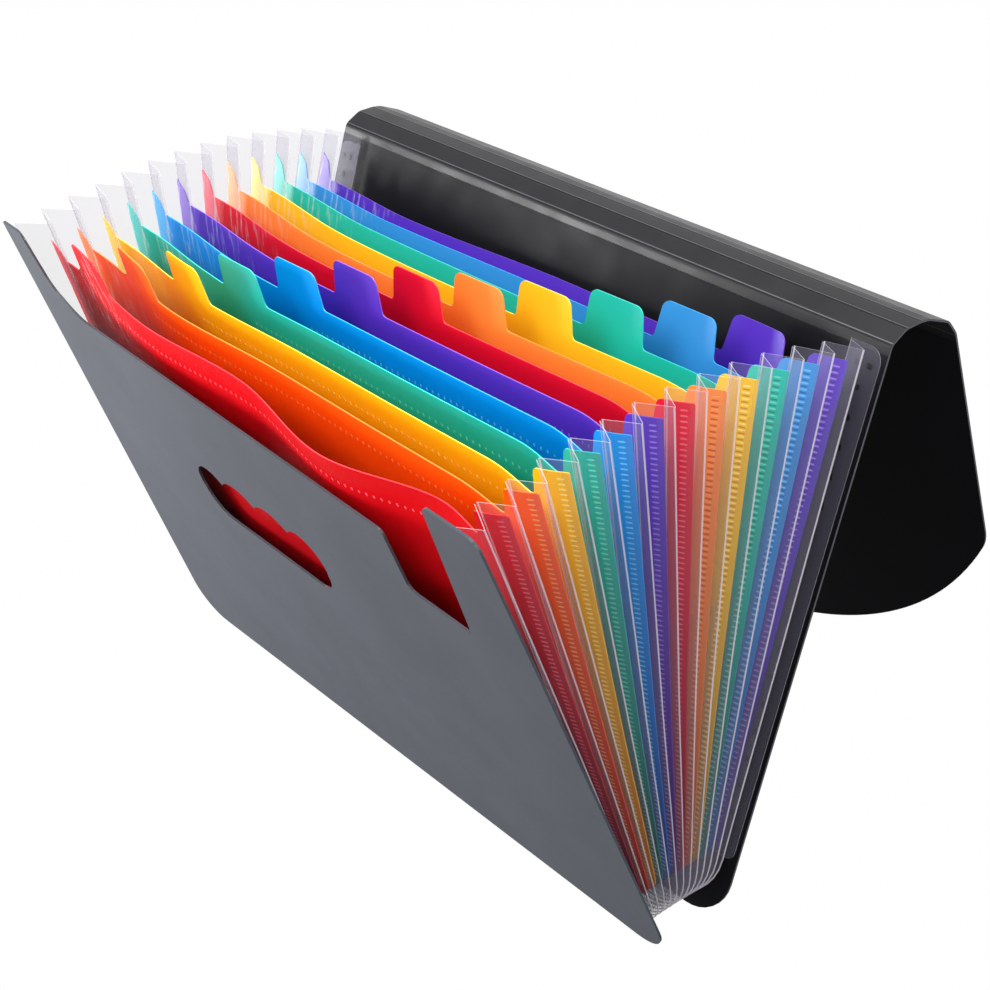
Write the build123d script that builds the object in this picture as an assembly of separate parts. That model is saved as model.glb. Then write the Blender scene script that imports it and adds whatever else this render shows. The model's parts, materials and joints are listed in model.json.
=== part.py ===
"""Expanding document file of polypropylene sheet, standing open as a fan.

Two stiff covers and twelve coloured dividers stand in a V on their lower edges. A clear
pleated gusset runs down the left side, under the bottom and up the right side, and makes
thirteen pockets. A flap with parallel creases starts at the top of the back cover and is
folded back behind it.

Frame: X along the width, -Y the front, +Z up, millimetres. The origin is on the floor under
the middle of the whole footprint. Sheet 0 is the front cover, sheets 1 to 12 the dividers,
sheet 13 the back cover. A place on a sheet is given by x and by the height up the sheet.
"""
from build123d import *
import os
from math import cos, radians, sin, tan

# ---- driving sizes, mm and degrees ----
WIDTH = 330.0
COVER_HEIGHT = 236.0
COVER_THICKNESS = 1.0
DIVIDER_THICKNESS = 0.5
FLAP_THICKNESS = 0.8
FILM_THICKNESS = 0.25
POCKETS = 13
BASE_SPREAD = 27.0  # between the feet of the two covers
FRONT_LEAN = -21.5  # from the vertical, negative leans to the front
BACK_LEAN = 16.8

# ---- covers ----
CORNER_RADIUS = 18.0
FRONT_TOP = 199.0  # top edge of the front cover between its ears
EAR_LEFT_INNER = -149.0
EAR_SLOPE_X, EAR_SLOPE_HEIGHT = -143.0, 210.0
TOP_EDGE_LEFT = -127.0
NOTCH_LEFT, NOTCH_RIGHT, NOTCH_RIGHT_TOP = 94.0, 129.0, 137.0
NOTCH_BOTTOM = 169.0
HAND_HOLE_X = -27.0
HAND_HOLE_LENGTH = 92.0
HAND_HOLE_BOTTOM, HAND_HOLE_CUSP, HAND_HOLE_TOP = 117.0, 142.0, 147.0
FINGER_PITCH = 24.6
END_BUMP_ACROSS, END_BUMP_DROP = 0.62, 0.12  # the end scallops' middles, in shares of the end radius

# ---- dividers ----
DIVIDER_HALF_WIDTH = 160.0
DIVIDER_BOTTOM = 22.0
DIVIDER_CORNER = 12.0
DIVIDER_TOP = 214.0
EAR_TOP = 228.0
EAR_INNER = 146.5
EAR_FOOT = 140.5
TAB_TOP = 229.5
TAB_WIDTH = 28.0
TAB_FLARE = 1.5
FIRST_TAB, LAST_TAB = -118.0, 116.5
DIVIDER_COLOURS = ("red", "orange", "yellow", "green", "blue", "purple") * 2

# ---- gusset ----
GUSSET_OUTER = 164.5  # outer fold
GUSSET_INNER = 148.0  # inner fold
GUSSET_TOP = 233.0
GUSSET_FLOOR_GAP = 0.5
GUSSET_CORNER = 25.0  # radius of the outer fold at the lower corners
OUTER_FOLD_SHARE = 0.26  # how far across the pocket the outer fold lies
FOLD_GAP_COVER, FOLD_GAP_DIVIDER = 1.2, 0.6  # from the sheet's middle plane to the fold
LARGEST_GAP_SHARE = 0.3
STRAIGHT_STEPS = 5  # facets of the film along each side
CORNER_STEPS = 4
FLANGE_OUTER = 163.0
FLANGE_BOTTOM = 27.0
FLANGE_TOP = 234.0
FLANGE_CORNER = 4.0

# ---- flap: crease strips from the back cover's top, each (width, direction from the vertical) ----
CREASE_STRIPS = ((8.5, 60.0), (8.0, 86.0), (4.5, 95.0), (12.5, 109.0), (8.0, 138.0))
FLAP_DIRECTION = 158.4
FLAP_TOE_GAP = 0.3  # above the floor
FLAP_STRAIGHT = 104.0  # straight part of the flap's sides
FLAP_SIDE_POINT = (119.0, 0.745)  # x, and share of the flap's length
FLAP_TOE_POINT = (42.0, 0.966)
FLAP_SHOULDER = (3.0, 12.0)  # in from the side and down from its end, where the long curves start
FLAP_SHOULDER_MIDDLE = (0.8, 6.3)
CREASE_GAP = 0.35  # left open at each crease, each side


def lean(sheet):
    """Degrees from the vertical, positive towards the back."""
    return FRONT_LEAN + (BACK_LEAN - FRONT_LEAN) * sheet / POCKETS


def flap_points():
    """Crease points (y, z) from the back cover's top to the flap's top, from the base's middle."""
    y = BASE_SPREAD / 2 + COVER_HEIGHT * sin(radians(BACK_LEAN))
    z = COVER_HEIGHT * cos(radians(BACK_LEAN))
    points = [(y, z)]
    for width, direction in CREASE_STRIPS:
        y += width * sin(radians(direction))
        z += width * cos(radians(direction))
        points.append((y, z))
    return points


def flap_length():
    """The flap reaches down to just above the floor."""
    drop = flap_points()[-1][1] - FLAP_TOE_GAP - FLAP_THICKNESS / 2 * sin(radians(FLAP_DIRECTION))
    return drop / -cos(radians(FLAP_DIRECTION))


def base_y():
    """The base's middle, from the middle of the footprint."""
    front = -BASE_SPREAD / 2 + COVER_HEIGHT * sin(radians(FRONT_LEAN))
    front -= COVER_THICKNESS / 2 * cos(radians(FRONT_LEAN))
    back = flap_points()[-1][0] + flap_length() * sin(radians(FLAP_DIRECTION))
    back -= FLAP_THICKNESS / 2 * cos(radians(FLAP_DIRECTION))
    return -(front + back) / 2


def foot_y(sheet):
    return base_y() + BASE_SPREAD * (sheet / POCKETS - 0.5)


def on_sheet(sheet, x, height):
    angle = radians(lean(sheet))
    return Vector(x, foot_y(sheet) + height * sin(angle), height * cos(angle))


def outline(corners):
    """Closed face through (x, height, radius) corners, with an arc at each corner that has a radius."""
    edges, starts, ends = [], [], []
    count = len(corners)
    for i, (x, y, radius) in enumerate(corners):
        here = Vector(x, y)
        before = (Vector(*corners[i - 1][:2]) - here).normalized()
        after = (Vector(*corners[(i + 1) % count][:2]) - here).normalized()
        half = radians(before.get_angle(after)) / 2
        reach = radius / tan(half)
        starts.append(here + before * reach)
        ends.append(here + after * reach)
        if radius:
            centre = here + (before + after).normalized() * (radius / sin(half))
            middle = centre + (here - centre).normalized() * radius
            edges.append(ThreePointArc(starts[-1], middle, ends[-1]))
    for i in range(count):
        edges.append(Line(ends[i - 1], starts[i]))
    return make_face(Wire.combine(edges)[0])


def plate(profile, thickness, sheet, offset=0.0):
    """Profile drawn in x and height, made into a plate on a sheet and cut off at the floor."""
    flat = extrude(profile, thickness / 2, both=True)
    stood = Rot(90 - lean(sheet), 0, 0) * Pos(0, 0, -offset) * flat
    stood = Pos(0, foot_y(sheet), 0) * stood
    floor_cut = Pos(0, 0, -COVER_HEIGHT / 2) * Box(2 * WIDTH, 4 * COVER_HEIGHT, COVER_HEIGHT)
    return stood - floor_cut


def mirrored(corners):
    """Right-hand corners, then the same ones mirrored to the left, in order round the outline."""
    return corners + [(-x, y, r) for x, y, r in reversed(corners)]


def hand_hole():
    """Straight lower edge, round ends and a scalloped upper edge with three cusps."""
    half = HAND_HOLE_LENGTH / 2
    end_height = (HAND_HOLE_BOTTOM + HAND_HOLE_CUSP) / 2
    end_radius = HAND_HOLE_CUSP - end_height
    low = [Vector(HAND_HOLE_X + s * (half - end_radius), HAND_HOLE_BOTTOM) for s in (-1, 1)]
    tips = [Vector(HAND_HOLE_X + s * half, end_height) for s in (-1, 1)]
    cusps = [Vector(HAND_HOLE_X + i * FINGER_PITCH, HAND_HOLE_CUSP) for i in (-1, 0, 1)]
    swing = end_radius * cos(radians(45))
    edges = [Line(low[0], low[1])]
    for side, foot, tip, cusp in ((-1, low[0], tips[0], cusps[0]), (1, low[1], tips[1], cusps[2])):
        inner_x = HAND_HOLE_X + side * (half - end_radius)
        edges.append(ThreePointArc(foot, Vector(inner_x + side * swing, end_height - swing), tip))
        bump_x = inner_x + side * swing * END_BUMP_ACROSS
        bump = Vector(bump_x, HAND_HOLE_TOP - end_radius * END_BUMP_DROP)
        edges.append(ThreePointArc(tip, bump, cusp))
    for left, right in zip(cusps, cusps[1:]):
        edges.append(ThreePointArc(left, Vector((left.X + right.X) / 2, HAND_HOLE_TOP), right))
    return make_face(Wire.combine(edges)[0])


def front_cover():
    half = WIDTH / 2
    corners = [
        (-half, -1.0, CORNER_RADIUS), (half, -1.0, CORNER_RADIUS), (half, COVER_HEIGHT, 5.0),
        (NOTCH_RIGHT_TOP, COVER_HEIGHT, 4.0), (NOTCH_RIGHT, NOTCH_BOTTOM, 1.5),
        (NOTCH_LEFT, NOTCH_BOTTOM, 4.0), (NOTCH_LEFT, FRONT_TOP, 3.0),
        (TOP_EDGE_LEFT, FRONT_TOP, 25.0), (EAR_SLOPE_X, EAR_SLOPE_HEIGHT, 12.0),
        (EAR_LEFT_INNER, COVER_HEIGHT, 3.0), (-half, COVER_HEIGHT, 1.0),
    ]
    return plate(outline(corners) - hand_hole(), COVER_THICKNESS, 0)


def back_cover():
    top = COVER_HEIGHT - CREASE_GAP
    corners = mirrored([(WIDTH / 2, -1.0, CORNER_RADIUS), (WIDTH / 2, top, 0.0)])
    return plate(outline(corners), COVER_THICKNESS, POCKETS)


def tab_x(sheet):
    """Middle of a divider's tab; the tabs step evenly from left to right."""
    return FIRST_TAB + (LAST_TAB - FIRST_TAB) * (sheet - 1) / (POCKETS - 2)


def divider(sheet):
    x = tab_x(sheet)
    right_ear = [
        (DIVIDER_HALF_WIDTH, DIVIDER_BOTTOM, DIVIDER_CORNER), (DIVIDER_HALF_WIDTH, EAR_TOP, 2.0),
        (EAR_INNER, EAR_TOP, 4.0), (EAR_FOOT, DIVIDER_TOP, 4.0),
    ]
    tab = [
        (x + TAB_WIDTH / 2 + TAB_FLARE, DIVIDER_TOP, 2.0), (x + TAB_WIDTH / 2, TAB_TOP, 4.0),
        (x - TAB_WIDTH / 2, TAB_TOP, 4.0), (x - TAB_WIDTH / 2 - TAB_FLARE, DIVIDER_TOP, 2.0),
    ]
    left_ear = [(-cx, cy, r) for cx, cy, r in reversed(right_ear)]
    return plate(outline(right_ear + tab + left_ear), DIVIDER_THICKNESS, sheet)


def gusset_path():
    """Stations (outer x, outer height, inner x, inner height) down the right side and round to the left."""
    depth = GUSSET_OUTER - GUSSET_INNER
    corner_x = GUSSET_OUTER - GUSSET_CORNER
    corner_height = GUSSET_FLOOR_GAP + GUSSET_CORNER
    right = []
    for step in range(STRAIGHT_STEPS):
        height = GUSSET_TOP + (corner_height - GUSSET_TOP) * step / STRAIGHT_STEPS
        right.append((GUSSET_OUTER, height, GUSSET_INNER, height))
    for step in range(CORNER_STEPS + 1):
        turn = radians(90 * step / CORNER_STEPS)
        across, down = cos(turn), sin(turn)
        inner_radius = GUSSET_CORNER - depth
        right.append((
            corner_x + GUSSET_CORNER * across, corner_height - GUSSET_CORNER * down,
            corner_x + inner_radius * across, corner_height - inner_radius * down,
        ))
    left = [(-ox, oh, -ix, ih) for ox, oh, ix, ih in reversed(right)]
    return right + left


def pleat_section(pocket, station):
    """V section across one pocket, from the sheet before, out to the outer fold, to the sheet after."""
    outer_x, outer_height, inner_x, inner_height = station
    near = on_sheet(pocket - 1, inner_x, inner_height)
    gap = (on_sheet(pocket, inner_x, inner_height) - near).length
    gap_before = FOLD_GAP_COVER if pocket == 1 else FOLD_GAP_DIVIDER
    gap_after = FOLD_GAP_COVER if pocket == POCKETS else FOLD_GAP_DIVIDER
    first = min(gap_before / gap, LARGEST_GAP_SHARE)
    last = 1 - min(gap_after / gap, LARGEST_GAP_SHARE)
    film = FILM_THICKNESS / gap
    crease = first + OUTER_FOLD_SHARE * (last - first)
    reach = 1 - 2 * film / (last - first)

    def place(share, outward):
        x = inner_x + (outer_x - inner_x) * outward
        height = inner_height + (outer_height - inner_height) * outward
        before, after = on_sheet(pocket - 1, x, height), on_sheet(pocket, x, height)
        return before + (after - before) * share

    return [
        place(first, 0), place(crease, 1), place(last, 0),
        place(last - film, 0), place(crease + film * (1 - 2 * OUTER_FOLD_SHARE), reach),
        place(first + film, 0),
    ]


def facet(*points):
    return Face(Wire.make_polygon(points, close=True))


def gusset_pleat(pocket):
    """One fold of film along the whole path, in flat three-cornered facets with a flat end at each top."""
    sections = [pleat_section(pocket, station) for station in gusset_path()]
    faces = [facet(*sections[0]), facet(*sections[-1])]
    for above, below in zip(sections, sections[1:]):
        for i in range(len(above)):
            # both faces of the film are split the same way, so that it keeps its thickness
            a, b = (i - 1, i) if i <= len(above) // 2 else (i, i - 1)
            faces.append(facet(above[a], above[b], below[b]))
            faces.append(facet(above[a], below[b], below[a]))
    return Solid(Shell(faces))


def flange(sheet, side):
    """Strip of the gusset film welded flat on a cover's inner face."""
    inner, outer = side * GUSSET_INNER, side * FLANGE_OUTER
    corners = [
        (inner, FLANGE_BOTTOM, 0.0), (outer, FLANGE_BOTTOM, FLANGE_CORNER),
        (outer, FLANGE_TOP, FLANGE_CORNER), (inner, FLANGE_TOP, 0.0),
    ]
    inward = (COVER_THICKNESS + FILM_THICKNESS) / 2
    return plate(outline(corners), FILM_THICKNESS, sheet, inward if sheet == 0 else -inward)


def hung_plate(profile, start, direction):
    """Profile drawn in x and in distance from a crease, placed from that crease point."""
    flat = extrude(profile, FLAP_THICKNESS / 2, both=True)
    y, z = start
    return Pos(0, base_y() + y, z) * Rot(90 - direction, 0, 0) * flat


def crease_strip(index):
    width, direction = CREASE_STRIPS[index]
    profile = Pos(0, width / 2) * Rectangle(WIDTH, width - 2 * CREASE_GAP)
    return hung_plate(profile, flap_points()[index], direction)


def flap_panel():
    """Straight sides, then long curves to a rounded toe."""
    length = flap_length()
    half = WIDTH / 2
    side_x, side_share = FLAP_SIDE_POINT
    toe_x, toe_share = FLAP_TOE_POINT
    edges = [Line((-half, CREASE_GAP), (half, CREASE_GAP))]
    shoulder_in, shoulder_down = FLAP_SHOULDER
    middle_in, middle_down = FLAP_SHOULDER_MIDDLE
    for side in (-1, 1):
        side_end = Vector(side * half, FLAP_STRAIGHT)
        middle = Vector(side * (half - middle_in), FLAP_STRAIGHT + middle_down)
        shoulder = Vector(side * (half - shoulder_in), FLAP_STRAIGHT + shoulder_down)
        belly = Vector(side * side_x, length * side_share)
        toe = Vector(side * toe_x, length * toe_share)
        edges.append(Line((side * half, CREASE_GAP), side_end))
        edges.append(ThreePointArc(side_end, middle, shoulder))
        edges.append(ThreePointArc(shoulder, belly, toe))
    left_toe = Vector(-toe_x, length * toe_share)
    edges.append(ThreePointArc(left_toe, (0, length), (toe_x, length * toe_share)))
    return hung_plate(make_face(Wire.combine(edges)[0]), flap_points()[-1], FLAP_DIRECTION)


def build():
    parts = {"front_cover": front_cover(), "back_cover": back_cover()}
    for sheet in range(1, POCKETS):
        parts[f"divider_{sheet:02d}_{DIVIDER_COLOURS[sheet - 1]}"] = divider(sheet)
    for pocket in range(1, POCKETS + 1):
        parts[f"gusset_pleat_{pocket:02d}"] = gusset_pleat(pocket)
    for cover, sheet in (("front", 0), ("back", POCKETS)):
        for name, side in (("left", -1), ("right", 1)):
            parts[f"{cover}_flange_{name}"] = flange(sheet, side)
    for index in range(len(CREASE_STRIPS)):
        parts[f"flap_crease_strip_{index + 1}"] = crease_strip(index)
    parts["flap_panel"] = flap_panel()
    return parts


if __name__ == "__main__":
    os.makedirs("parts", exist_ok=True)
    for node, solid in build().items():
        export_step(solid, f"parts/{node}.step")
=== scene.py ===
import json
import math

import bpy
import numpy as np
from mathutils import Matrix, Vector
from mathutils.geometry import delaunay_2d_cdt


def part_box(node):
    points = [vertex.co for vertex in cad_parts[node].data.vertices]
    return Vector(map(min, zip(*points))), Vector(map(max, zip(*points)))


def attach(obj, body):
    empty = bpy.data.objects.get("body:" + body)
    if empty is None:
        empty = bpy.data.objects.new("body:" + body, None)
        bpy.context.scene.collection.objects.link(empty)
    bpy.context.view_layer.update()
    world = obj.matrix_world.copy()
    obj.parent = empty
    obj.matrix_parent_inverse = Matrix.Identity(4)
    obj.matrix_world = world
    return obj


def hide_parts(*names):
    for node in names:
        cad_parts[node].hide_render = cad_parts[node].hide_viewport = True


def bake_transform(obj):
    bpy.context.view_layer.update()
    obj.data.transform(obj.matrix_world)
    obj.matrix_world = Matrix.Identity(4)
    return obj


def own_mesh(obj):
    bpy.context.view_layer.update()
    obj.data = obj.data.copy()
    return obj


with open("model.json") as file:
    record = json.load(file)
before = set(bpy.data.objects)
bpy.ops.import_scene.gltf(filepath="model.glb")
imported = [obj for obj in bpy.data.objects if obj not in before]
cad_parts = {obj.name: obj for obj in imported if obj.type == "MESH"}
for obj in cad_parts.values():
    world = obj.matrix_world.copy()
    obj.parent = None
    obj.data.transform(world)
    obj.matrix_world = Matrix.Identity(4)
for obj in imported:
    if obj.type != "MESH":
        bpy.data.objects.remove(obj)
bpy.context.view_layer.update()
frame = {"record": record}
record = frame["record"]

# ---------------------------------------------------------------- sizes, in metres and degrees
MM = 0.001
POCKETS = 13
COLOURS = ("red", "orange", "yellow", "green", "blue", "purple")
HALF_WIDTH = 0.165
COVER_THICKNESS = 1.0 * MM
DIVIDER_THICKNESS = 0.5 * MM
FILM_THICKNESS = 0.24 * MM
FLAP_THICKNESS = 0.8 * MM

INNER_FOLD = 0.148
OUTER_FOLD_LEFT, OUTER_FOLD_RIGHT = 0.1645, 0.160
# how far the outer fold lies from one sheet to the next, at the left and at the foot
OUTER_FOLD_SHARE = 0.26
LEFT_STRIP_SHARE = 0.03  # how far a divider's left strip lies behind its sheet, of a pocket
PLEAT_SHIFT = 0.53  # how far the middle folds at the right lean to the front, counted in sheets
GUSSET_TOP = 0.233
GUSSET_CORNER = 0.025
FLOOR_GAP = 2.5 * MM
TWIST = -1.79  # extra lean of the front cover at its right side, opposite at the left

HOLE_X, HOLE_HALF = -0.027, 0.046
HOLE_BOTTOM, HOLE_CUSP, HOLE_TOP = 0.117, 0.142, 0.147
FINGER_PITCH = 0.0246

DIVIDER_LEFT, DIVIDER_RIGHT = 0.159, 0.1562
DIVIDER_BOTTOM = 0.022
DIVIDER_TOP = 0.214
EAR_TOP = 0.228
EAR_INNER = 0.1440
EAR_DROP = 7 * MM  # the front dividers sit lower at the left
EAR_DROP_FIRST, EAR_DROP_LAST = 3, 8  # the sheets between which the drop runs out
EAR_FOOT = 0.2165
TAB_TOP = 0.2295
TAB_HALF = 0.014
FIRST_TAB, LAST_TAB = -0.118, 0.1165

BOW_X = (-0.148, -0.070, 0.0, 0.060, 0.115, 0.148)  # where a divider's bow is set, across it
BOW_LEFT = 7 * MM  # how far a divider's top edge bows to the front, left of the middle
BOW_MIDDLE_FIRST, BOW_MIDDLE_FULL = 3 * MM, 7.5 * MM  # at the middle: the first divider's and the largest
BOW_FULL_SHEET = 8
BOW_LEFT_FADE, BOW_LEFT_LEAST = (9, 11.5), 0.15  # sheets between which it fades, and what is left of it
BOW_MIDDLE_FADE, BOW_MIDDLE_LEAST = (9.4, 10.8), -0.9
BOW_RIGHT, BOW_RIGHT_END = 0.7, 0.3  # shares of the middle's bow, further right
FIRST_BULGE, FIRST_HOLLOW = 9 * MM, -3 * MM  # more bow in the first divider, at the same two places

# ---------------------------------------------------------------- the sheets' places, from the frame
joints = {j["name"]: j for j in record["behaviour"]["joints"]}
foot = [joints[f"pocket_{k + 1:02d}_fold"]["pos_m"][1] for k in range(POCKETS)]
foot.append(record["mounts"][0]["pos_m"][1])
creases = [joints[f"flap_crease_{i}"]["pos_m"][1:] for i in range(1, 7)]
front_low, front_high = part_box("front_cover")
FRONT_LEAN = -math.atan2(foot[0] - front_low[1] - COVER_THICKNESS / 2, front_high[2])
BACK_LEAN = math.atan2(creases[0][0] - foot[POCKETS], creases[0][1])


def lean(sheet):
    return FRONT_LEAN + (BACK_LEAN - FRONT_LEAN) * np.asarray(sheet, float) / POCKETS


def foot_y(sheet):
    return np.interp(sheet, range(POCKETS + 1), foot)


def on_sheet(sheet, x, h, forward=0.0):
    """Points h up a sheet's plane at x, and forward along its normal. sheet may lie between two sheets."""
    sheet, x, h, forward = np.broadcast_arrays(*(np.asarray(v, float) for v in (sheet, x, h, forward)))
    a = lean(sheet) + np.radians(TWIST) * x / HALF_WIDTH * (1 - sheet / POCKETS)
    y = foot_y(sheet) + h * np.sin(a) - forward * np.cos(a)
    z = h * np.cos(a) + forward * np.sin(a)
    return np.stack([x, y, z], axis=-1)


def rise(h):
    """0 at the foot, 1 from half way up: how far the right folds have come to the front."""
    t = np.clip(np.asarray(h, float) / 0.12, 0, 1)
    return t * t * (3 - 2 * t)


def pleat_shift(sheet):
    """How many sheets forward the gusset lies at the right: nothing at the covers, most half way between."""
    return PLEAT_SHIFT * math.sin(math.pi * sheet / POCKETS)


def fading(sheet, fade, least):
    """1 up to the first of two sheets, 0 at the second, and on down to least behind it."""
    return np.clip((fade[1] - sheet) / (fade[1] - fade[0]), least, 1)


def bow_of(sheet):
    """A divider's bow at each of BOW_X. The rearmost dividers bow to the back instead."""
    left = BOW_LEFT * fading(sheet, BOW_LEFT_FADE, BOW_LEFT_LEAST)
    grown = min((sheet - 1) / (BOW_FULL_SHEET - 1), 1)
    middle = BOW_MIDDLE_FIRST + (BOW_MIDDLE_FULL - BOW_MIDDLE_FIRST) * grown
    middle *= fading(sheet, BOW_MIDDLE_FADE, BOW_MIDDLE_LEAST)
    right, right_end = middle * BOW_RIGHT, middle * BOW_RIGHT_END
    if sheet == 1:
        right += FIRST_BULGE
        right_end += FIRST_HOLLOW
    return 0, left, middle, right, right_end, 0


def inner_at(sheet, side, h):
    return sheet - pleat_shift(sheet) * rise(h) * max(side, 0)


def outer_at(sheet, side, h):
    plain = sheet + OUTER_FOLD_SHARE
    halfway = sheet + 0.5
    return plain + (halfway - pleat_shift(halfway) - plain) * rise(h) * max(side, 0)


def smooth_curve(xs, ys, x):
    """A smooth curve through the points, level at both ends."""
    xs, ys = np.asarray(xs, float), np.asarray(ys, float)
    slope = np.zeros(len(xs))
    slope[1:-1] = (ys[2:] - ys[:-2]) / (xs[2:] - xs[:-2])
    x = np.clip(x, xs[0], xs[-1])
    i = np.clip(np.searchsorted(xs, x, side="right") - 1, 0, len(xs) - 2)
    w = xs[i + 1] - xs[i]
    t = (x - xs[i]) / w
    return ((2 * t**3 - 3 * t**2 + 1) * ys[i] + (t**3 - 2 * t**2 + t) * w * slope[i]
            + (3 * t**2 - 2 * t**3) * ys[i + 1] + (t**3 - t**2) * w * slope[i + 1])


# ---------------------------------------------------------------- outlines
def rounded(corners, steps=6):
    """Outline points of a polygon with rounded corners, from (x, y, radius)."""
    points = []
    count = len(corners)
    for i, (x, y, r) in enumerate(corners):
        here = Vector((x, y))
        if r <= 0:
            points.append(here)
            continue
        before = (Vector(corners[i - 1][:2]) - here).normalized()
        after = (Vector(corners[(i + 1) % count][:2]) - here).normalized()
        half = before.angle(after) / 2
        reach = r / math.tan(half)
        centre = here + (before + after).normalized() * (r / math.sin(half))
        start, end = here + before * reach - centre, here + after * reach - centre
        turn = start.angle_signed(end)
        for s in range(steps + 1):
            points.append(centre + Matrix.Rotation(-turn * s / steps, 2) @ start)
    return [(p.x, p.y) for p in points]


def arc_through(a, b, c, steps=10):
    """Points of the arc from a through b to c, without c."""
    ax, ay, bx, by, cx, cy = *a, *b, *c
    d = 2 * (ax * (by - cy) + bx * (cy - ay) + cx * (ay - by))
    ux = ((ax * ax + ay * ay) * (by - cy) + (bx * bx + by * by) * (cy - ay)
          + (cx * cx + cy * cy) * (ay - by)) / d
    uy = ((ax * ax + ay * ay) * (cx - bx) + (bx * bx + by * by) * (ax - cx)
          + (cx * cx + cy * cy) * (bx - ax)) / d
    r = math.hypot(ax - ux, ay - uy)
    angles = [math.atan2(p[1] - uy, p[0] - ux) for p in (a, b, c)]
    middle = (angles[1] - angles[0]) % (2 * math.pi)
    whole = (angles[2] - angles[0]) % (2 * math.pi)
    if middle > whole:
        whole -= 2 * math.pi
    return [(ux + r * math.cos(angles[0] + whole * s / steps),
             uy + r * math.sin(angles[0] + whole * s / steps))
            for s in range(steps)]


def hand_hole():
    end_h = (HOLE_BOTTOM + HOLE_CUSP) / 2
    end_r = HOLE_CUSP - end_h
    swing = end_r * math.sqrt(0.5)
    left, right = HOLE_X - HOLE_HALF, HOLE_X + HOLE_HALF
    cusps = [(HOLE_X + i * FINGER_PITCH, HOLE_CUSP) for i in (-1, 0, 1)]
    low_left, low_right = (left + end_r, HOLE_BOTTOM), (right - end_r, HOLE_BOTTOM)
    bump = swing * 0.62
    bump_h = HOLE_TOP - end_r * 0.12
    points = arc_through(low_right, (right - end_r + swing, end_h - swing), (right, end_h))
    points += arc_through((right, end_h), (right - end_r + bump, bump_h), cusps[2])
    for a, b in ((cusps[2], cusps[1]), (cusps[1], cusps[0])):
        points += arc_through(a, ((a[0] + b[0]) / 2, HOLE_TOP), b)
    points += arc_through(cusps[0], (left + end_r - bump, bump_h), (left, end_h))
    points += arc_through((left, end_h), (left + end_r - swing, end_h - swing), low_left)
    return points + [low_left]


def front_cover_outline():
    return rounded((
        (-0.165, -0.001, 0.018), (0.165, -0.001, 0.018), (0.165, 0.236, 0.005), (0.137, 0.236, 0.004),
        (0.129, 0.169, 0.0015), (0.094, 0.169, 0.004), (0.094, 0.199, 0.003), (-0.127, 0.199, 0.025),
        (-0.143, 0.210, 0.012), (-0.149, 0.236, 0.003), (-0.165, 0.236, 0.001),
    ), 8)


def back_cover_outline(top):
    return rounded(((-0.165, 0.0, 0.018), (0.165, 0.0, 0.018), (0.165, top, 0.0), (-0.165, top, 0.0)), 8)


def tab_x(sheet):
    return FIRST_TAB + (LAST_TAB - FIRST_TAB) * (sheet - 1) / (POCKETS - 2)


def left_edge(x):
    """The top edge near the left ear, which falls away to the middle in a long S."""
    t = np.clip((x + 0.150) / 0.065, 0, 1)
    return EAR_FOOT + (DIVIDER_TOP - EAR_FOOT) * t * t * (3 - 2 * t)


def divider_outline(sheet):
    t = tab_x(sheet)
    left, right = t - TAB_HALF, t + TAB_HALF
    drop = EAR_DROP * np.clip((EAR_DROP_LAST - sheet) / (EAR_DROP_LAST - EAR_DROP_FIRST), 0, 1)
    corners = [
        (-DIVIDER_LEFT, DIVIDER_BOTTOM, 0.012), (DIVIDER_RIGHT, DIVIDER_BOTTOM, 0.012),
        (DIVIDER_RIGHT, EAR_TOP, 0.0005), (EAR_INNER, EAR_TOP, 0.0035),
        (0.1405, DIVIDER_TOP, 0.004),
        (right + 0.0015, float(left_edge(right)), 0.002), (right - 0.0005, TAB_TOP, 0.004),
        (left + 0.0005, TAB_TOP, 0.004), (left - 0.0015, float(left_edge(left)), 0.002),
    ]
    for x in np.arange(left - 0.006, -0.1465, -0.006):
        lowered = left_edge(x) - drop * 0.5 * np.clip((-0.085 - x) / 0.055, 0, 1)
        corners.append((float(x), float(lowered), 0.0))
    corners += [(-0.1500, EAR_FOOT - drop * 0.5, 0.002), (-0.1532, EAR_TOP - 0.004 - drop, 0.004),
                (-DIVIDER_LEFT, EAR_TOP - drop, 0.0005)]
    return rounded(corners, 6)


# ---------------------------------------------------------------- meshes
def resampled(loop, step):
    """The same closed loop with no gap over step."""
    points = []
    for a, b in zip(loop, loop[1:] + loop[:1]):
        length = math.dist(a, b)
        if length < 1e-6:
            continue
        n = max(1, math.ceil(length / step))
        points += [(a[0] + (b[0] - a[0]) * i / n, a[1] + (b[1] - a[1]) * i / n) for i in range(n)]
    return points


def distance_to(loop, p):
    """How far each point of p lies from a closed loop."""
    a = np.array(loop)
    b = np.roll(a, -1, axis=0)
    ab = b - a
    along = np.einsum("ijk,jk->ij", p[:, None, :] - a[None], ab)
    t = along / np.maximum(np.einsum("jk,jk->j", ab, ab), 1e-12)
    nearest = a[None] + np.clip(t, 0, 1)[..., None] * ab[None]
    return np.linalg.norm(p[:, None, :] - nearest, axis=2).min(axis=1)


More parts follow.
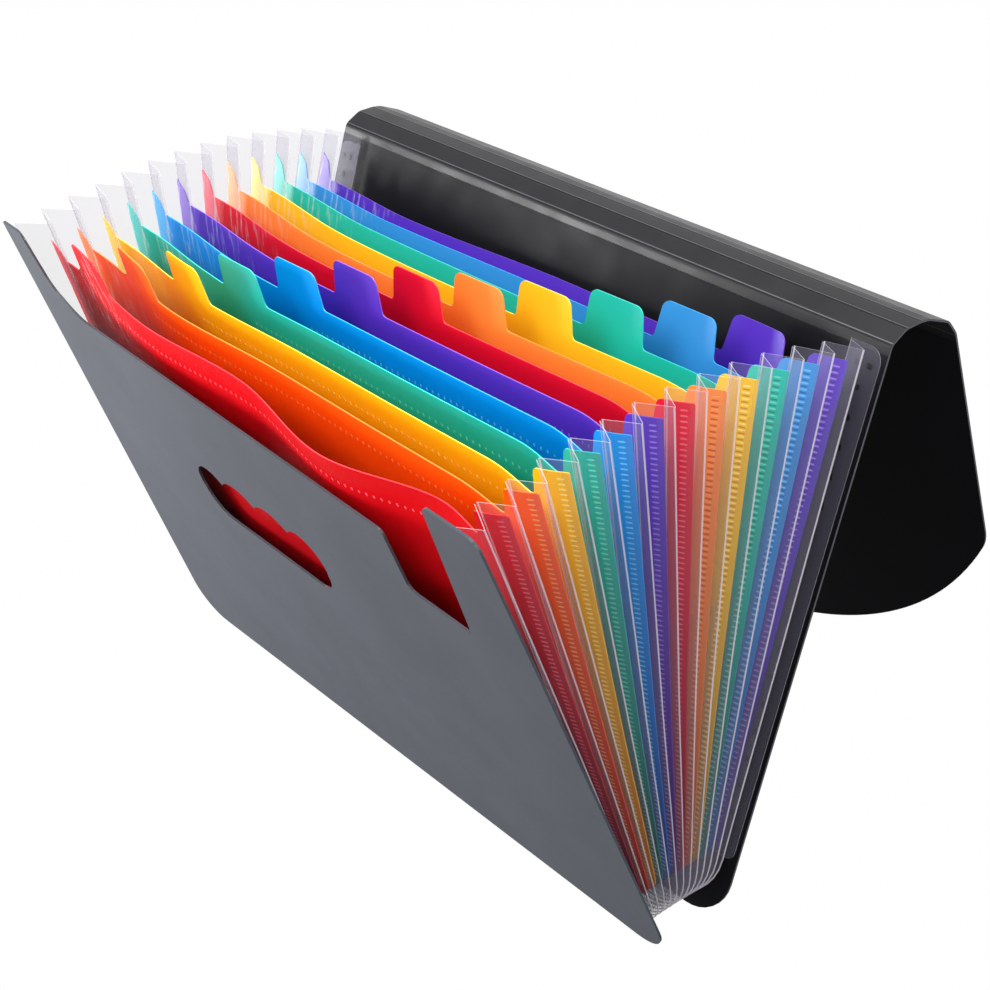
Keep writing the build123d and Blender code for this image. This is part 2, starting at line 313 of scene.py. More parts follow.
def flat_mesh(outer, holes=(), step=0.004, lines=()):
    """Even triangles over a flat outline, with mesh lines along x = each of lines."""
    loops = [resampled(outer, step)] + [resampled(h, step * 0.6) for h in holes]
    xs = [p[0] for p in outer]
    ys = [p[1] for p in outer]
    cols = sorted(set(np.round(np.linspace(min(xs), max(xs), round((max(xs) - min(xs)) / step) + 1), 6)))
    cols = [c for c in cols if all(abs(c - line) > step * 0.45 for line in lines)] + list(lines)
    rows = np.linspace(min(ys), max(ys), round((max(ys) - min(ys)) / step) + 1)
    grid = np.array([(x, y) for x in cols for y in rows])
    near = np.min([distance_to(loop, grid) for loop in loops], axis=0)
    grid = grid[near > step * 0.4]
    points = []
    edges = []
    for loop in loops:
        first = len(points)
        n = len(loop)
        points += [Vector(p) for p in loop]
        edges += [(first + i, first + (i + 1) % n) for i in range(n)]
    points += [Vector(p) for p in grid]
    found = delaunay_2d_cdt(points, edges, [], 2 if not holes else 0, 1e-7)
    verts = np.array([tuple(v) for v in found[0]])
    faces = np.array([tuple(f) for f in found[2]])
    middles = verts[faces].mean(axis=1)
    keep = inside(loops[0], middles)
    for loop in loops[1:]:
        keep &= ~inside(loop, middles)
    faces = faces[keep]
    used, faces = np.unique(faces, return_inverse=True)
    faces = faces.reshape(-1, 3)
    verts = verts[used]
    area = np.cross(verts[faces[:, 1]] - verts[faces[:, 0]], verts[faces[:, 2]] - verts[faces[:, 0]])
    faces[area < 0] = faces[area < 0][:, ::-1]
    return verts, faces[np.abs(area) > 1e-12]


def inside(loop, p):
    a = np.array(loop)
    b = np.roll(a, -1, axis=0)
    px, py = p[:, 0:1], p[:, 1:2]
    crosses = (a[None, :, 1] > py) != (b[None, :, 1] > py)
    rise = np.where(np.abs(b[:, 1] - a[:, 1]) < 1e-12, 1e-12, b[:, 1] - a[:, 1])
    at = a[None, :, 0] + (py - a[None, :, 1]) * ((b[:, 0] - a[:, 0]) / rise)[None]
    return (crosses & (px < at)).sum(axis=1) % 2 == 1


def point_normals(verts, faces):
    normals = np.zeros_like(verts)
    for i in range(1, faces.shape[1] - 1):
        n = np.cross(verts[faces[:, i]] - verts[faces[:, 0]], verts[faces[:, i + 1]] - verts[faces[:, 0]])
        for c in range(faces.shape[1]):
            np.add.at(normals, faces[:, c], n)
    return normals / np.maximum(np.linalg.norm(normals, axis=1, keepdims=True), 1e-12)


def thick_sheet(name, verts, faces, thickness, materials, uv=None, face_material=None, edge_material=0):
    """A closed sheet round the given middle surface. Its cut edge takes material number edge_material."""
    verts, faces = np.asarray(verts, float), np.asarray(faces)
    n = len(verts)
    offset = point_normals(verts, faces) * thickness / 2
    both = np.concatenate([verts + offset, verts - offset])
    directed = {}
    for f in faces:
        for a, b in zip(f, np.roll(f, -1)):
            directed[(int(a), int(b))] = True
    rim = [(a, b) for a, b in directed if (b, a) not in directed]
    all_faces = [tuple(int(v) for v in f) for f in faces]
    all_faces += [tuple(int(v) + n for v in f[::-1]) for f in faces]
    all_faces += [(b, a, a + n, b + n) for a, b in rim]
    mesh = bpy.data.meshes.new(name)
    mesh.from_pydata(both.tolist(), [], all_faces)
    for m in materials:
        mesh.materials.append(m)
    index = np.zeros(len(all_faces), int)
    if face_material is not None:
        index[:len(faces)] = face_material
        index[len(faces):2 * len(faces)] = face_material
    if callable(edge_material):
        ends = np.array(rim)
        index[2 * len(faces):] = edge_material((uv[ends[:, 0]] + uv[ends[:, 1]]) / 2)
    else:
        index[2 * len(faces):] = edge_material
    mesh.polygons.foreach_set("material_index", index)
    smooth = np.ones(len(all_faces), bool)
    smooth[2 * len(faces):] = False
    mesh.polygons.foreach_set("use_smooth", smooth)
    rims = set(rim) | {(a + n, b + n) for a, b in rim}
    mesh.update()
    for e in mesh.edges:
        a, b = e.vertices
        if (a, b) in rims or (b, a) in rims:
            e.use_edge_sharp = True
    if uv is not None:
        flat = np.concatenate([uv, uv])
        layer = mesh.attributes.new("flat", "FLOAT_VECTOR", "POINT")
        layer.data.foreach_set("vector", np.column_stack([flat, np.zeros(len(flat))]).ravel())
    obj = bpy.data.objects.new(name, mesh)
    bpy.context.scene.collection.objects.link(obj)
    return obj


# ---------------------------------------------------------------- materials
def linear(c):
    return tuple(((v / 255) / 12.92 if v <= 10 else (((v / 255) + 0.055) / 1.055) ** 2.4) for v in c)


class Nodes:
    def __init__(self, name):
        self.material = bpy.data.materials.new(name)
        self.material.use_nodes = True
        self.tree = self.material.node_tree
        self.tree.nodes.clear()

    def add(self, kind, **values):
        node = self.tree.nodes.new(kind)
        for key, value in values.items():
            if key.startswith("_"):
                setattr(node, key[1:], value)
            else:
                node.inputs[key.replace("_", " ")].default_value = value
        return node

    def link(self, a, b):
        self.tree.links.new(a, b)

    def flat_position(self, scale):
        where = self.add("ShaderNodeAttribute", _attribute_name="flat")
        size = self.add("ShaderNodeMapping")
        size.inputs["Scale"].default_value = scale
        self.link(where.outputs["Vector"], size.inputs["Vector"])
        return size.outputs["Vector"]

    def object_position(self, scale):
        where = self.add("ShaderNodeTexCoord")
        size = self.add("ShaderNodeMapping")
        size.inputs["Scale"].default_value = scale
        self.link(where.outputs["Object"], size.inputs["Vector"])
        return size.outputs["Vector"]

    def noise(self, vector, scale, detail=3.0):
        node = self.add("ShaderNodeTexNoise", Scale=scale, Detail=detail)
        self.link(vector, node.inputs["Vector"])
        return node.outputs["Fac"]

    def ramp(self, value, stops):
        node = self.add("ShaderNodeValToRGB")
        while len(node.color_ramp.elements) < len(stops):
            node.color_ramp.elements.new(0.5)
        for element, (at, colour) in zip(node.color_ramp.elements, stops):
            element.position = at
            element.color = (*colour, 1.0)
        self.link(value, node.inputs["Fac"])
        return node.outputs["Color"]

    def range(self, value, low, high, to_low, to_high):
        node = self.add("ShaderNodeMapRange")
        for key, v in zip(("From Min", "From Max", "To Min", "To Max"), (low, high, to_low, to_high)):
            node.inputs[key].default_value = v
        self.link(value, node.inputs["Value"])
        return node.outputs["Result"]

    def bump(self, height, distance, strength=1.0):
        node = self.add("ShaderNodeBump", Distance=distance, Strength=strength)
        self.link(height, node.inputs["Height"])
        return node.outputs["Normal"]


def sheet_plastic(name, colour, variation=0.12, roughness=0.42, grain=0.00003, specular=0.5):
    """Satin polypropylene: a fine pressed grain, cloudy shading and slow changes of gloss."""
    n = Nodes(name)
    shader = n.add("ShaderNodeBsdfPrincipled")
    shader.inputs["Specular IOR Level"].default_value = specular
    where = n.object_position((1, 1, 1))
    cloud = n.noise(where, 14.0)
    low = tuple(c * (1 - variation) for c in colour)
    high = tuple(min(1, c * (1 + variation)) for c in colour)
    n.link(n.ramp(cloud, ((0.3, low), (0.7, high))), shader.inputs["Base Color"])
    patches = n.noise(where, 60.0)
    n.link(n.range(patches, 0.3, 0.7, roughness - 0.05, roughness + 0.05), shader.inputs["Roughness"])
    n.link(n.bump(n.noise(where, 2600.0, 2.0), grain, 0.5), shader.inputs["Normal"])
    out = n.add("ShaderNodeOutputMaterial")
    n.link(shader.outputs[0], out.inputs["Surface"])
    return n.material


def divider_plastic(name, colour, painted_shade_colour, through=0.28):
    """Tinted sheet that lets light through, with painted shade: more saturated and darker low down, where the
    pockets close up.
    """
    n = Nodes(name)
    shader = n.add("ShaderNodeBsdfPrincipled")
    shader.inputs["Specular IOR Level"].default_value = 0.55
    flat = n.flat_position((1, 1, 1))
    split = n.add("ShaderNodeSeparateXYZ")
    n.link(flat, split.inputs["Vector"])
    height = n.range(split.outputs["Y"], 0.05, 0.215, 0.0, 1.0)
    cloud = n.range(n.noise(n.object_position((1, 1, 1)), 22.0), 0.3, 0.7, -0.06, 0.06)
    add = n.add("ShaderNodeMath", _operation="ADD")
    n.link(height, add.inputs[0])
    n.link(cloud, add.inputs[1])
    # Painted shade: from the painted shade colour at the foot to the full colour near the top.
    tint = n.ramp(add.outputs[0], ((0.0, painted_shade_colour), (0.95, colour)))
    # Painted reflection: whitish streaks mixed into the colour near the top left of each sheet.
    painted_smear_reflection = n.range(n.noise(n.flat_position((330, 60, 1)), 1.0, 5.0), 0.54, 0.66, 0.0, 0.55)
    near_left = n.range(split.outputs["X"], -0.128, -0.085, 1.0, 0.0)
    high_up = n.range(split.outputs["Y"], 0.165, 0.2, 0.0, 1.0)
    for share in (near_left, high_up):
        times = n.add("ShaderNodeMath", _operation="MULTIPLY")
        n.link(painted_smear_reflection, times.inputs[0])
        n.link(share, times.inputs[1])
        painted_smear_reflection = times.outputs[0]
    whiten = n.add("ShaderNodeMix", _data_type="RGBA")
    whiten.inputs["B"].default_value = (0.85, 0.83, 0.86, 1.0)
    n.link(painted_smear_reflection, whiten.inputs["Factor"])
    n.link(tint, whiten.inputs["A"])
    tint = whiten.outputs["Result"]
    n.link(tint, shader.inputs["Base Color"])
    streak = n.noise(n.flat_position((180, 9, 1)), 1.0)
    n.link(n.range(streak, 0.3, 0.7, 0.3, 0.35), shader.inputs["Roughness"])
    n.link(n.bump(n.noise(n.object_position((1, 1, 1)), 900.0, 2.0), 0.00003, 0.4), shader.inputs["Normal"])
    glow = n.add("ShaderNodeBsdfTranslucent")
    n.link(tint, glow.inputs["Color"])
    mix = n.add("ShaderNodeMixShader")
    mix.inputs[0].default_value = through
    n.link(shader.outputs[0], mix.inputs[1])
    n.link(glow.outputs[0], mix.inputs[2])
    out = n.add("ShaderNodeOutputMaterial")
    n.link(mix.outputs[0], out.inputs["Surface"])
    return n.material


def film_plastic(name, colour, alpha, roughness=0.22):
    """Clear frosted film, faintly cloudy, with fine drawn streaks."""
    n = Nodes(name)
    shader = n.add("ShaderNodeBsdfPrincipled")
    shader.inputs["Specular IOR Level"].default_value = 0.35
    shader.inputs["Alpha"].default_value = alpha
    cloud = n.noise(n.object_position((1, 1, 1)), 30.0)
    low = tuple(c * 0.94 for c in colour)
    n.link(n.ramp(cloud, ((0.3, low), (0.7, colour))), shader.inputs["Base Color"])
    streak = n.noise(n.flat_position((260, 12, 1)), 1.0)
    n.link(n.range(streak, 0.3, 0.7, roughness - 0.06, roughness + 0.08), shader.inputs["Roughness"])
    n.link(n.bump(streak, 0.00006, 0.5), shader.inputs["Normal"])
    out = n.add("ShaderNodeOutputMaterial")
    n.link(shader.outputs[0], out.inputs["Surface"])
    return n.material


# Each sheet's colour, then the darker painted shade colour it takes low down in the pockets.
SHEET_RGB = (
    ((240, 12, 26), (150, 5, 16)), ((255, 112, 14), (215, 58, 12)), ((255, 212, 20), (222, 150, 24)),
    ((0, 196, 186), (10, 125, 120)), ((0, 162, 244), (0, 92, 190)), ((106, 56, 200), (98, 30, 136)),
    ((240, 14, 40), (180, 12, 36)), ((255, 160, 66), (222, 118, 46)), ((255, 214, 36), (214, 168, 50)),
    ((0, 204, 190), (10, 138, 130)), ((62, 160, 232), (30, 108, 184)), ((98, 54, 204), (70, 34, 156)),
)
# Painted glow: lighter, paler colours for the dividers' cut edges, where light comes out through the edge.
EDGE_GLOW_RGB = {
    "red": (250, 92, 104), "orange": (255, 165, 84), "yellow": (255, 228, 96),
    "green": (92, 214, 190), "blue": (92, 190, 248), "purple": (150, 112, 218),
}
TICK_RGB = {
    "red": (250, 96, 112), "orange": (255, 160, 92), "yellow": (255, 228, 120),
    "green": (90, 214, 190), "blue": (100, 190, 248), "purple": (150, 112, 214),
}
DARK_RGB = {
    "red": (170, 8, 22), "orange": (214, 92, 20), "yellow": (206, 146, 22),
    "green": (8, 138, 122), "blue": (18, 104, 186), "purple": (66, 30, 146),
}


HAZE_GREY, HAZE_SHARE = 225, 0.32


def hazed(rgb):
    """The colour of a strip that lies under the gusset's film."""
    return tuple(round(v * (1 - HAZE_SHARE) + HAZE_GREY * HAZE_SHARE) for v in rgb)


grey_sheet = sheet_plastic("slate_cover_sheet", linear((90, 93, 101)), 0.05, 0.36)
grey_edge = sheet_plastic("slate_cover_cut_edge", linear((58, 64, 72)), 0.2, 0.3)
black_sheet = sheet_plastic("black_cover_sheet", linear((13, 13, 17)), 0.15, 0.46, specular=0.15)
# Painted highlight: light grey for the black sheets' cut edges, also used for the light line beside each roof
# crease.
black_highlight_edge = sheet_plastic("black_cover_highlight_edge", linear((70, 72, 78)), 0.2, 0.3)
roof_sheet = sheet_plastic("black_crease_band", linear((16, 16, 20)), 0.15, 0.36, specular=0.36)
# Painted shade: a near-black line down the middle of each roof crease.
crease_shade = sheet_plastic("black_crease_painted_shade", linear((6, 6, 8)), 0.2, 0.5, specular=0.2)
film = film_plastic("gusset_film", linear((150, 147, 166)), 0.095)
film_edge = film_plastic("gusset_film_edge", linear((226, 220, 230)), 0.42, 0.3)
dot = sheet_plastic("weld_dot", linear((12, 12, 16)), 0.3, 0.5)
sheets = [divider_plastic(f"{COLOURS[i % 6]}_sheet_{i + 1:02d}", linear(a), linear(b))
          for i, (a, b) in enumerate(SHEET_RGB)]
edge_glow = {c: sheet_plastic(f"{c}_cut_edge",
                         linear(tuple((a + b) // 2 for a, b in zip(rgb, SHEET_RGB[i][0]))), 0.1, 0.3)
        for i, (c, rgb) in enumerate(EDGE_GLOW_RGB.items())}
hazed_sheets = [divider_plastic(f"{COLOURS[i % 6]}_strip_{i + 1:02d}", linear(hazed(a)), linear(hazed(b)))
         for i, (a, b) in enumerate(SHEET_RGB)]
tick = {c: sheet_plastic(f"{c}_tick", linear(rgb), 0.1, 0.3) for c, rgb in TICK_RGB.items()}
dark = {c: sheet_plastic(f"{c}_weld", linear(rgb), 0.15, 0.35) for c, rgb in DARK_RGB.items()}


# ---------------------------------------------------------------- pieces between the covers
def body_of(sheet):
    return "front_cover" if sheet == 0 else "back_cover" if sheet == POCKETS else f"divider_{sheet:02d}"


def settle(obj, sheet, nodes=()):
    """The piece rides its sheet's body."""
    if nodes:
        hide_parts(*nodes)
    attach(obj, body_of(sheet))
    if sheet < POCKETS:
        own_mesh(obj)


def divider_point(sheet, x, h, forward=0.0):
    """Middle surface of a divider: bowed between the inner folds, then lying behind the gusset's flank."""
    x, h = np.asarray(x, float), np.asarray(h, float)
    bow = smooth_curve(BOW_X, bow_of(sheet), x) * (h / GUSSET_TOP) ** 2
    out_left = np.clip((-x - INNER_FOLD) / (OUTER_FOLD_LEFT - INNER_FOLD), 0, 1)
    out_right = np.clip((x - INNER_FOLD) / (OUTER_FOLD_RIGHT - INNER_FOLD), 0, 1)
    near = np.clip((x - 0.112) / (INNER_FOLD - 0.112), 0, 1)
    inner, outer = inner_at(sheet, 1, h), outer_at(sheet, 1, h)
    place = sheet + LEFT_STRIP_SHARE * out_left + (inner - sheet) * near**2 * (3 - 2 * near)
    place = place + (outer - inner) * out_right
    behind = np.clip((x - 0.1455) / 0.0025, 0, 1) * 0.42 * MM
    return on_sheet(place, x, h, bow + forward - behind)


def build_front_cover():
    flat, faces = flat_mesh(front_cover_outline(), [hand_hole()], 0.005)
    verts = on_sheet(0, flat[:, 0], flat[:, 1])
    obj = thick_sheet("front_cover_sheet", verts, faces, COVER_THICKNESS, [grey_sheet, grey_edge], flat,
                      edge_material=1)
    settle(obj, 0, ["front_cover"])


def build_back_cover():
    top = math.dist(creases[0], (foot[POCKETS], 0.0)) - 0.004
    flat, faces = flat_mesh(back_cover_outline(top), (), 0.008)
    verts = on_sheet(POCKETS, flat[:, 0], flat[:, 1])
    obj = thick_sheet("back_cover_sheet", warped(verts), faces, COVER_THICKNESS,
                      [black_sheet, black_highlight_edge], flat, edge_material=1)
    settle(obj, POCKETS, ["back_cover"])


def bars(name, places, along, across, materials, index, lift):
    """Small raised rounded bars. places gives a function of (u, v) for each bar's surface."""
    verts, faces, kinds = [], [], []
    ring = [(math.cos(a), math.sin(a)) for a in np.linspace(0, 2 * math.pi, 8, endpoint=False)]
    for number, (surface, x, h) in enumerate(places):
        first = len(verts)
        for grow, up in ((1.0, 0.0), (0.8, lift)):
            us = [x + across / 2 * grow * math.copysign(abs(c) ** 0.6, c) for c, s in ring]
            vs = [h + along / 2 * grow * math.copysign(abs(s) ** 0.6, s) for c, s in ring]
            verts += surface(np.array(us), np.array(vs), up).tolist()
        n = len(ring)
        faces += [(first + i, first + (i + 1) % n, first + n + (i + 1) % n, first + n + i) for i in range(n)]
        faces += [tuple(first + n + i for i in range(n)), tuple(first + i for i in reversed(range(n)))]
        kinds += [index(number)] * (n + 2)
    mesh = bpy.data.meshes.new(name)
    mesh.from_pydata(verts, [], faces)
    for m in materials:
        mesh.materials.append(m)
    mesh.polygons.foreach_set("material_index", kinds)
    mesh.update()
    obj = bpy.data.objects.new(name, mesh)
    bpy.context.scene.collection.objects.link(obj)
    return obj


def build_divider(sheet):
    colour = COLOURS[(sheet - 1) % 6]
    flat, faces = flat_mesh(divider_outline(sheet), (), 0.0045, (-INNER_FOLD, INNER_FOLD))
    verts = divider_point(sheet, flat[:, 0], flat[:, 1])
    covered = (flat[faces].mean(axis=1)[:, 0] < -INNER_FOLD).astype(int) * 2
    # The cut edge takes the painted glow colour, except at the right, which keeps the sheet's colour, and at
    # the left, which takes the strip's colour.
    obj = thick_sheet(f"divider_{sheet:02d}_{colour}_sheet", verts, faces, DIVIDER_THICKNESS,
                      [sheets[sheet - 1], edge_glow[colour], hazed_sheets[sheet - 1]], flat, covered,
                      lambda at: np.where(at[:, 0] > 0.146, 0, np.where(at[:, 0] < -0.1475, 2, 1)))
    settle(obj, sheet, [f"divider_{sheet:02d}_{colour}"])

    def surface(x, h, up):
        return divider_point(sheet, x, h, DIVIDER_THICKNESS / 2 + up - 0.03 * MM)

    close_set = sheet >= 8
    ladder = []
    for h in np.arange(DIVIDER_BOTTOM + 0.010, EAR_TOP - 0.002, 0.00115 if close_set else 0.0021):
        ladder.append((surface, 0.1532, float(h)))
    obj = bars(f"divider_{sheet:02d}_side_welds", ladder, 0.8 * MM, 2.7 * MM, [tick[colour], dark[colour]],
               lambda i: i % 2 if close_set else 0, 0.1 * MM)
    settle(obj, sheet)
    row = []
    for x in np.arange(tab_x(sheet) + 0.004, 0.139, 0.0035):
        row.append((surface, float(x), DIVIDER_TOP - 0.0115))
    obj = bars(f"divider_{sheet:02d}_top_welds", row, 1.6 * MM, 1.1 * MM,
               [dark[colour] if close_set else tick[colour]],
               lambda i: 0, 0.08 * MM)
    settle(obj, sheet)


def gusset_path(left_top):
    """Stations (side, outer x, outer h, inner x, inner h) from the right top down, across and up the left."""
    stations = []
    inner_bottom = {}
    for side, outer in ((1, OUTER_FOLD_RIGHT), (-1, OUTER_FOLD_LEFT)):
        centre_x, centre_h = outer - GUSSET_CORNER, FLOOR_GAP + GUSSET_CORNER
        inner_r = GUSSET_CORNER - (outer - INNER_FOLD)
        inner_bottom[side] = (centre_x, centre_h - inner_r)
        run = []
        for h in np.linspace(GUSSET_TOP if side > 0 else left_top, centre_h, 15):
            run.append((side, side * outer, h, side * INNER_FOLD, h))
        for a in np.radians(np.linspace(0, 90, 9))[1:]:
            run.append((side, side * (centre_x + GUSSET_CORNER * math.cos(a)),
                        centre_h - GUSSET_CORNER * math.sin(a), side * (centre_x + inner_r * math.cos(a)),
                        centre_h - inner_r * math.sin(a)))
        if side > 0:
            stations += run
            continue
        (right_x, right_h), (left_x, left_h) = inner_bottom[1], inner_bottom[-1]
        for t in np.linspace(0, 1, 13)[1:-1]:
            x = right_x + (-left_x - right_x) * t
            stations.append((0, x, FLOOR_GAP, x, right_h + (left_h - right_h) * t))
        stations += run[::-1]
    return stations


def build_pleat(pocket):
    front = pocket - 1
    flank_a = (0.0, 0.04, 0.3, 0.6, 0.9, 0.96)
    cross = [("a", t) for t in flank_a] + [("a", 1.0)]
    cross += [("b", t) for t in (0.03, 0.07, 0.4, 0.7, 0.93, 0.98)]
    bright = (0, 5, 6)
    lead, trail = 0.02, 0.05
    verts, flat = [], []
    run = 0.0
    last = None
    left_top = GUSSET_TOP + 4.5 * MM * min(max((front - 3) / 5, 0), 1)
    stations = gusset_path(left_top)
    for side, ox, oh, ix, ih in stations:
        if last:
            run += math.dist(last, (ox, oh))
        last = (ox, oh)
        fold_a, fold_o = inner_at(front, side, ih) + lead, outer_at(front, side, oh)
        fold_b = inner_at(pocket, side, ih) - trail
        for number, (flank, t) in enumerate(cross):
            if flank == "a":
                share = fold_a + (fold_o - fold_a) * t
                out = t
            else:
                share = fold_o + (fold_b - fold_o) * t
                out = 1 - t
            lift = 0.12 * MM if flank == "a" else 0.0
            verts.append(on_sheet(share, ix + (ox - ix) * out, ih + (oh - ih) * out, lift))
            flat.append((out * 0.0168 + (0.03 if flank == "b" else 0), run))
    width = len(cross)
    faces, kinds = [], []
    for s in range(len(stations) - 1):
        for c in range(width - 1):
            a = s * width + c
            faces.append((a, a + 1, a + width + 1, a + width))
            kinds.append(1 if c in bright else 0)
    obj = thick_sheet(f"gusset_film_{pocket:02d}", verts, faces, FILM_THICKNESS,
                      [film, film_edge], np.array(flat), np.array(kinds), 1)
    settle(obj, front, [f"gusset_pleat_{pocket:02d}"])


def build_flange(sheet, side):
    """The strip of film welded flat on a cover, with its row of round weld dots."""
    where = "front" if sheet == 0 else "back"
    hand = "left" if side < 0 else "right"
    outline = rounded(((0.148, 0.027, 0.0), (0.163, 0.027, 0.004),
                       (0.163, 0.2335, 0.006), (0.148, 0.2335, 0.0)))
    rear = -1 if sheet == 0 else 1
    lift = rear * (COVER_THICKNESS / 2 + 0.25 * MM)
    outline = [(side * x, h) for x, h in outline][::side]
    flat, faces = flat_mesh(outline, (), 0.006)
    border = distance_to(outline, flat[faces].mean(axis=1)) < 0.0004
    verts = on_sheet(sheet, flat[:, 0], flat[:, 1], lift)
    obj = thick_sheet(f"{where}_flange_film_{hand}", verts, faces, FILM_THICKNESS, [film, film_edge], flat,
                      border.astype(int), 1)
    settle(obj, sheet, [f"{where}_flange_{hand}"])

    def surface(x, h, up):
        return on_sheet(sheet, x, h, lift + rear * (FILM_THICKNESS / 2 + up))

    dots = [(surface, side * 0.1562, float(h)) for h in np.arange(0.034, 0.222, 0.0115)]
    dots += [(surface, side * 0.1535, 0.2265), (surface, side * 0.1588, 0.2265)]
    obj = bars(f"{where}_flange_welds_{hand}", dots, 2.6 * MM, 2.6 * MM, [dot], lambda i: 0, 0.15 * MM)
    settle(obj, sheet)


# ---------------------------------------------------------------- the creased roof and the flap
BACK_WARP = (0.0, 3.5 * MM, 3.5 * MM)  # how far the back's top left corner stands off the flat model


def warped(points):
    """The back cover and flap, lifted a little towards their left side and their top."""
    points = np.asarray(points, float)
    share = (HALF_WIDTH - points[:, 0]) / (2 * HALF_WIDTH) * np.clip(points[:, 2] / 0.23, 0, 1)
    return points + share[:, None] * np.array(BACK_WARP)


def flap_outline(start, length):
    half = HALF_WIDTH
    side_end, middle, shoulder = (half, 0.104), (half - 0.0008, 0.1103), (half - 0.003, 0.116)
    belly, toe = (0.119, 0.745 * length), (0.042, 0.966 * length)
    right = [(half, start)] + arc_through(side_end, middle, shoulder, 6)
    right += arc_through(shoulder, belly, toe, 24)
    tip = arc_through(toe, (0.0, length), (-toe[0], toe[1]), 12)
    return right + tip + [(-x, y) for x, y in reversed(right)]


def build_roof():
    """One band over each crease, from the middle of one strip to the middle of the next, rounded over the
    crease.
    """
    below = Vector((foot[POCKETS], 0.0))
    points = [Vector(p) for p in creases]
    flap_low, flap_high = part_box("flap_panel")
    toe = Vector((flap_high[1] - 0.0004, flap_low[2]))
    chain = [below] + points + [toe]
    for i, here in enumerate(points, start=1):
        before, after = (chain[i - 1] - here), (chain[i + 1] - here)
        reach_a = 0.004 if i == 1 else before.length / 2
        reach_b = 0.004 if i == len(points) else after.length / 2
        before.normalize()
        after.normalize()
        bend = min(0.0016, reach_a * 0.8, reach_b * 0.8)
        line = [here + before * reach_a, here + before * (reach_a + bend) / 2]
        for t in np.linspace(0, 1, 9):
            p = (here + before * bend) * (1 - t) ** 2 + here * 2 * t * (1 - t) + (here + after * bend) * t**2
            line.append(p)
        line += [here + after * (reach_b + bend) / 2, here + after * reach_b]
        xs = np.linspace(-HALF_WIDTH, HALF_WIDTH, 67)
        verts = [(x, p.x, p.y) for p in line for x in xs]
        width = len(xs)
        run = np.concatenate([[0], np.cumsum([(b - a).length for a, b in zip(line, line[1:])])])
        flat = np.array([(x, r) for r in run for x in xs])
        faces = [(s * width + c, s * width + c + 1, (s + 1) * width + c + 1, (s + 1) * width + c)
                 for s in range(len(line) - 1) for c in range(width - 1)]
        # Rows 5 and 6, at the middle of the bend, take the painted crease shade, and row 7 the painted
        # highlight line.
        kinds = np.repeat([{5: 2, 6: 2, 7: 3}.get(s, 0) for s in range(len(line) - 1)], width - 1)
        obj = thick_sheet(f"crease_band_{i}", warped(verts), faces, FLAP_THICKNESS,
                          [roof_sheet, black_highlight_edge, crease_shade, black_highlight_edge],
                          flat, kinds, 1)
        if i < len(points):
            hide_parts(f"flap_crease_strip_{i}")
        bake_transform(obj)
    last = points[-1]
    down = (toe - last).normalized()
    flat, faces = flat_mesh(flap_outline(0.004, (toe - last).length), (), 0.007)
    verts = np.column_stack([flat[:, 0], last.x + down.x * flat[:, 1], last.y + down.y * flat[:, 1]])
    obj = thick_sheet("flap_sheet", warped(verts), faces, FLAP_THICKNESS,
                      [black_sheet, black_highlight_edge], flat, edge_material=1)
    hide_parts("flap_panel")
    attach(obj, "flap")


build_front_cover()
build_back_cover()
for k in range(1, POCKETS):
    build_divider(k)
for k in range(1, POCKETS + 1):
    build_pleat(k)
for cover in (0, POCKETS):
    for hand in (-1, 1):
        build_flange(cover, hand)
build_roof()


# ---------------------------------------------------------------- floor, light and camera
def floor():
    """A plain white floor. It isn't lit, and lights nothing, so that the object stands on clean white."""
    n = Nodes("studio_floor")
    shine = n.add("ShaderNodeEmission", Strength=1.0)
    cloud = n.noise(n.object_position((1, 1, 1)), 3.0)
    n.link(n.ramp(cloud, ((0.3, (0.995, 0.995, 0.995)), (0.7, (1.0, 1.0, 1.0)))), shine.inputs["Color"])
    out = n.add("ShaderNodeOutputMaterial")
    n.link(shine.outputs[0], out.inputs["Surface"])
    mesh = bpy.data.meshes.new("studio_floor")
    reach = 60.0
    mesh.from_pydata([(-reach, -reach, -0.003), (reach, -reach, -0.003), (reach, reach, -0.003),
                      (-reach, reach, -0.003)], [], [(0, 1, 2, 3)])
    mesh.materials.append(n.material)
    obj = bpy.data.objects.new("studio_floor", mesh)
    obj.visible_diffuse = False
    obj.visible_glossy = False
    obj.visible_transmission = False
    obj.visible_shadow = False
    bpy.context.scene.collection.objects.link(obj)


def area_light(name, at, to, size, watts, colour=(1, 1, 1)):
    data = bpy.data.lights.new(name, "AREA")
    data.shape = "RECTANGLE"
    data.size, data.size_y = size
    data.energy = watts
    data.color = colour
    obj = bpy.data.objects.new(name, data)
    obj.location = at
    obj.rotation_euler = (Vector(to) - Vector(at)).to_track_quat("-Z", "Y").to_euler()
    bpy.context.scene.collection.objects.link(obj)


CAMERA_AZIMUTH, CAMERA_ELEVATION, CAMERA_ROLL = 50.083, 28.584, -0.151
CAMERA_AT = (0.50919, -0.44047, 0.47482)
CAMERA_FOCAL = 1760.3 / 990 * 36


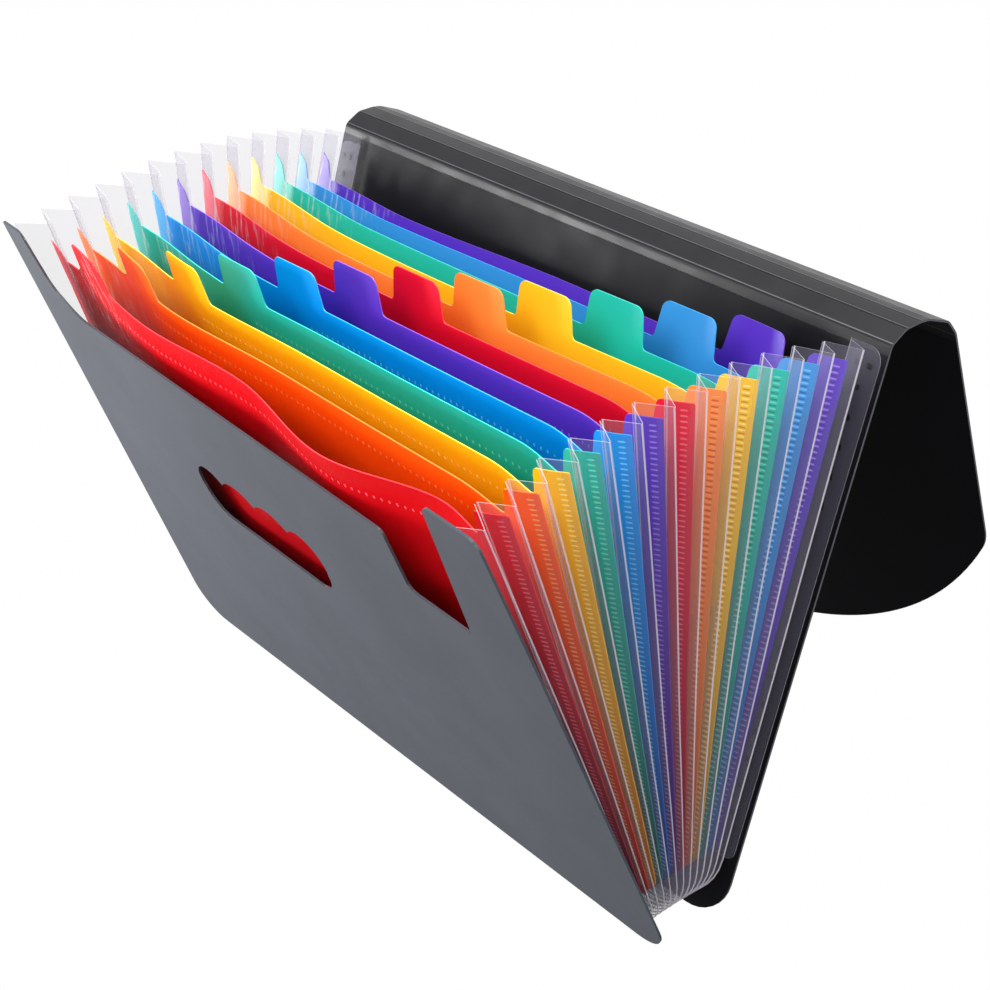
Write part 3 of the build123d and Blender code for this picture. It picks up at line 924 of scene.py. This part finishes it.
def camera():
    az, el, roll = (math.radians(v) for v in (CAMERA_AZIMUTH, CAMERA_ELEVATION, CAMERA_ROLL))
    back = Vector((math.sin(az) * math.cos(el), -math.cos(az) * math.cos(el), math.sin(el)))
    right = (-back).cross(Vector((0, 0, 1))).normalized()
    up = right.cross(-back)
    right, up = right * math.cos(roll) + up * math.sin(roll), up * math.cos(roll) - right * math.sin(roll)
    data = bpy.data.cameras.new("photo_camera")
    data.lens = CAMERA_FOCAL
    data.sensor_width = 36
    obj = bpy.data.objects.new("photo_camera", data)
    turn = Matrix((right, up, back)).transposed().to_4x4()
    obj.matrix_world = Matrix.Translation(CAMERA_AT) @ turn
    bpy.context.scene.collection.objects.link(obj)
    bpy.context.scene.camera = obj


floor()
area_light("key", (-0.5, -1.1, 1.5), (0, 0, 0.1), (1.2, 1.2), 24)
area_light("left_low", (-0.72, -0.62, 0.16), (-0.1, -0.12, 0.16), (0.35, 0.35), 10)
area_light("right_fill", (1.6, -0.6, 0.7), (0, 0, 0.1), (1.2, 1.2), 14)
area_light("top", (0.2, 0.4, 1.9), (0, 0, 0.1), (1.6, 1.6), 30)
camera()
def studio_world():
    """White walls and ceiling over a darker floor, so that the leaning cover shades from light to dark."""
    world = bpy.data.worlds.new("studio")
    world.use_nodes = True
    tree = world.node_tree
    where = tree.nodes.new("ShaderNodeTexCoord")
    split = tree.nodes.new("ShaderNodeSeparateXYZ")
    scale = tree.nodes.new("ShaderNodeMapRange")
    ramp = tree.nodes.new("ShaderNodeValToRGB")
    scale.inputs["From Min"].default_value = -1.0
    for at, level in ((0.0, 0.03), (0.14, 0.12), (0.3, 0.45), (0.44, 0.9),
                      (0.48, 1.2), (0.62, 1.2), (0.72, 0.75), (1.0, 0.75)):
        element = ramp.color_ramp.elements.new(at)
        element.color = (level, level, level, 1.0)
    ramp.color_ramp.elements.remove(ramp.color_ramp.elements[-1])
    ramp.color_ramp.elements.remove(ramp.color_ramp.elements[0])
    tree.links.new(where.outputs["Generated"], split.inputs["Vector"])
    tree.links.new(split.outputs["Z"], scale.inputs["Value"])
    tree.links.new(scale.outputs["Result"], ramp.inputs["Fac"])
    tree.links.new(ramp.outputs["Color"], tree.nodes["Background"].inputs["Color"])
    tree.nodes["Background"].inputs["Strength"].default_value = 0.85
    bpy.context.scene.world = world


studio_world()
bpy.context.scene.view_settings.view_transform = "Standard"
bpy.context.scene.cycles.transparent_max_bounces = 96
